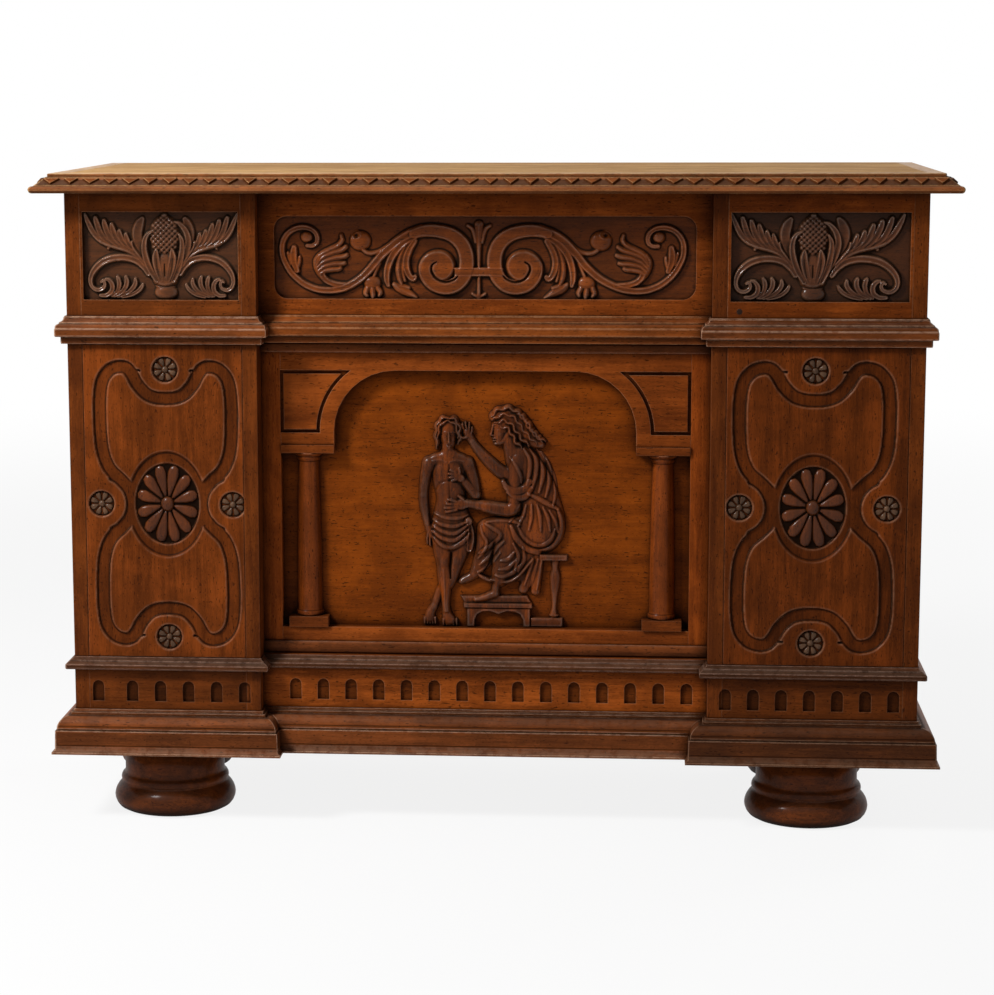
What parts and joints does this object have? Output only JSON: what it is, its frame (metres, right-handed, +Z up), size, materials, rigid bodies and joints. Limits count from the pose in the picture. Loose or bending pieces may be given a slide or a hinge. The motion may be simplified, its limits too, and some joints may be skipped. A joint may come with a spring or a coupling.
{
  "type": "carved coffer",
  "caption": "Carved wooden coffer on bun feet: strapwork piers beside an arched niche with relief figures, a carved frieze, fluted base and a hinged moulded lid.",
  "frame": {"origin": "on the floor, under the middle of the lid", "axes": "+X along the front to the viewer's right, +Y from the front to the back, +Z up"},
  "size_m": [1.25, 0.48, 0.906],
  "materials": {
    "carcase_wood": "waxed and worn",
    "carving_wood": "waxed, dark in the recesses",
    "lid_wood": "waxed and faded",
    "inner_wood": "bare and aged",
    "hinge_iron": "blackened"
  },
  "bodies": {
    "carcase": {"feet_front": "carcase_wood", "feet_rear": "carcase_wood", "arcade_board_left": "carcase_wood", "arcade_board_centre": "carcase_wood", "arcade_board_right": "carcase_wood", "end_base_boards": "carcase_wood", "end_friezes": "carcase_wood", "end_panel_left": "carcase_wood", "end_panel_right": "carcase_wood", "corner_post_front_left": "carcase_wood", "corner_post_front_right": "carcase_wood", "corner_post_rear_left": "carcase_wood", "corner_post_rear_right": "carcase_wood", "pier_return_left": "carcase_wood", "pier_return_right": "carcase_wood", "pier_panel_left": "carcase_wood", "pier_panel_right": "carcase_wood", "niche_stile_left": "carcase_wood", "niche_stile_right": "carcase_wood", "niche_bottom_rail": "carcase_wood", "niche_arch_board": "carcase_wood", "niche_beads": "carcase_wood", "niche_back_panel": "carcase_wood", "columns": "carcase_wood", "column_plinths": "carcase_wood", "imposts": "carcase_wood", "frieze_panel_left": "carcase_wood", "frieze_panel_centre": "carcase_wood", "frieze_panel_right": "carcase_wood", "base_moulding_left_pier": "carcase_wood", "base_moulding_centre": "carcase_wood", "base_moulding_right_pier": "carcase_wood", "base_moulding_ends": "carcase_wood", "surbase_moulding_left_pier": "carcase_wood", "surbase_moulding_centre": "carcase_wood", "surbase_moulding_right_pier": "carcase_wood", "surbase_moulding_ends": "carcase_wood", "waist_moulding_left_pier": "carcase_wood", "waist_moulding_centre": "carcase_wood", "waist_moulding_right_pier": "carcase_wood", "waist_moulding_ends": "carcase_wood", "oval_rosettes": "carving_wood", "small_rosettes": "carving_wood", "figure_relief": "carving_wood", "fruit_carvings": "carving_wood", "scroll_carving": "carving_wood", "base_bearers": "inner_wood", "floor_boards": "inner_wood", "front_wall": "inner_wood", "back_boards": "inner_wood", "back_bottom_rail": "inner_wood", "back_top_rail": "inner_wood", "hinge_leaves_carcase": "hinge_iron", "hinge_pins": "hinge_iron"},
    "lid": {"lid_boards": "lid_wood", "lid_moulding_front": "lid_wood", "lid_moulding_ends": "lid_wood", "lid_battens": "inner_wood", "hinge_leaves_lid": "hinge_iron"}
  },
  "joints": [
    {"name": "lid_hinge", "type": "hinge", "parent": "carcase", "child": "lid", "pos_m": [0, 0.2265, 0.87985], "axis": [-1, 0, 0], "range_deg": [0, 105]}
  ]
}
